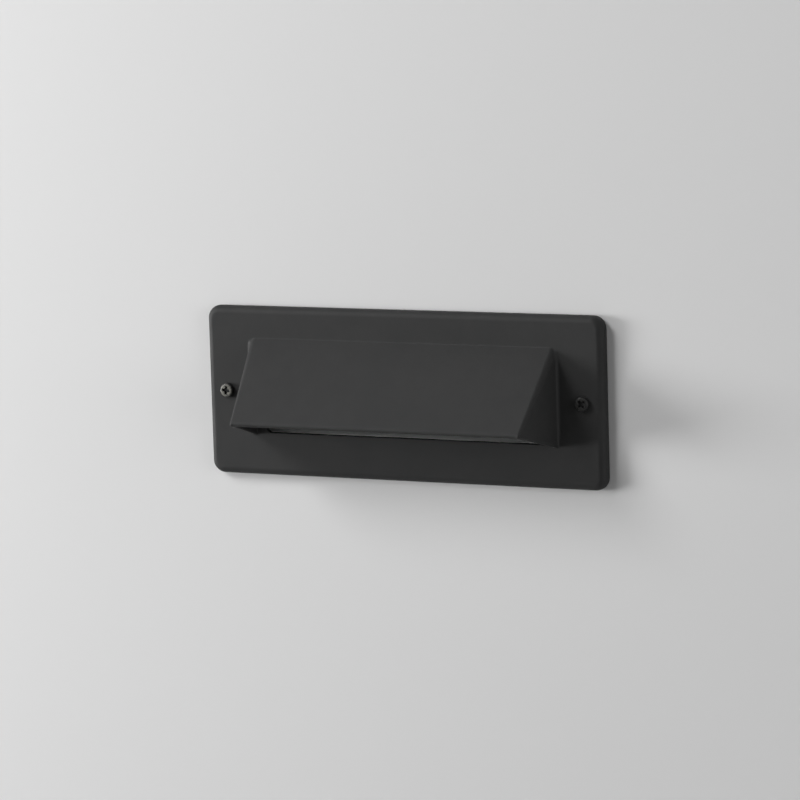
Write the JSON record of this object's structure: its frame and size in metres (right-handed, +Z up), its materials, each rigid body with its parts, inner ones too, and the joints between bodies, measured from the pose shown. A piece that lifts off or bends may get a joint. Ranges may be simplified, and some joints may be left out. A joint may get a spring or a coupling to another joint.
{
  "type": "hooded louver step light",
  "caption": "Recessed louver light for a wall or riser: a cast faceplate with a wedge hood throws the light down, over a back box with wedge-base lamps.",
  "frame": {"origin": "on the wall face, behind the middle of the faceplate and midway between the face screws", "axes": "+X right along the wall, +Y into the wall, +Z up"},
  "size_m": [0.235, 0.129, 0.092],
  "materials": {
    "powder_coat": "charcoal textured powder coat over cast aluminium",
    "black_foam": "closed-cell foam",
    "silicone": "translucent grey silicone",
    "frosted_glass": "tempered glass, sandblasted behind",
    "spring_steel": "stainless spring steel",
    "screw_steel": "zinc plated",
    "face_screw_steel": "black oxide, worn bright on the edges",
    "nylon": "natural nylon",
    "box_plastic": "black moulded composite",
    "brass": "knurled brass",
    "plug_plastic": "black moulded plastic",
    "white_enamel": "white baked enamel on aluminium sheet",
    "plated_steel": "zinc-plated sheet steel",
    "socket_ceramic": "unglazed white ceramic",
    "bronze": "phosphor bronze",
    "lamp_glass": "inside-frosted soda glass",
    "lead_insulation": "black silicone insulation",
    "connector_plastic": "blue moulded plastic, filled with gel"
  },
  "bodies": {
    "housing": {"back_box": "box_plastic", "screw_inserts": "brass", "rear_hub": "box_plastic", "left_side_hub": "box_plastic", "right_side_hub": "box_plastic", "reflector_posts": "plated_steel", "left_hub_plug": "plug_plastic", "right_hub_plug": "plug_plastic", "reflector": "white_enamel", "left_socket_bracket": "plated_steel", "right_socket_bracket": "plated_steel", "reflector_screws": "screw_steel", "left_socket": "socket_ceramic", "right_socket": "socket_ceramic", "left_socket_contacts": "bronze", "right_socket_contacts": "bronze", "left_leads": "lead_insulation", "right_leads": "lead_insulation", "wire_connectors": "connector_plastic"},
    "cover": {"faceplate": "powder_coat", "faceplate_gasket": "black_foam", "lens_gasket": "silicone", "lens": "frosted_glass", "lens_clips": "spring_steel", "lens_clip_screws": "screw_steel"},
    "left_screw": {"left_face_screw": "face_screw_steel", "left_captive_washer": "nylon"},
    "right_screw": {"right_face_screw": "face_screw_steel", "right_captive_washer": "nylon"},
    "left_bulb": {"left_lamp": "lamp_glass"},
    "right_bulb": {"right_lamp": "lamp_glass"}
  },
  "joints": [
    {"name": "cover_pull", "type": "slide", "parent": "housing", "child": "cover", "axis": [0, -1, 0], "range_m": [0, 0.06]},
    {"name": "left_screw_turn", "type": "hinge", "parent": "cover", "child": "left_screw", "pos_m": [-0.1055, -0.006, 0], "axis": [0, -1, 0], "continuous": true},
    {"name": "right_screw_turn", "type": "hinge", "parent": "cover", "child": "right_screw", "pos_m": [0.1055, -0.006, 0], "axis": [0, -1, 0], "continuous": true},
    {"name": "left_lamp_pull", "type": "slide", "parent": "housing", "child": "left_bulb", "axis": [1, 0, 0], "range_m": [0, 0.012]},
    {"name": "right_lamp_pull", "type": "slide", "parent": "housing", "child": "right_bulb", "axis": [-1, 0, 0], "range_m": [0, 0.012]}
  ]
}
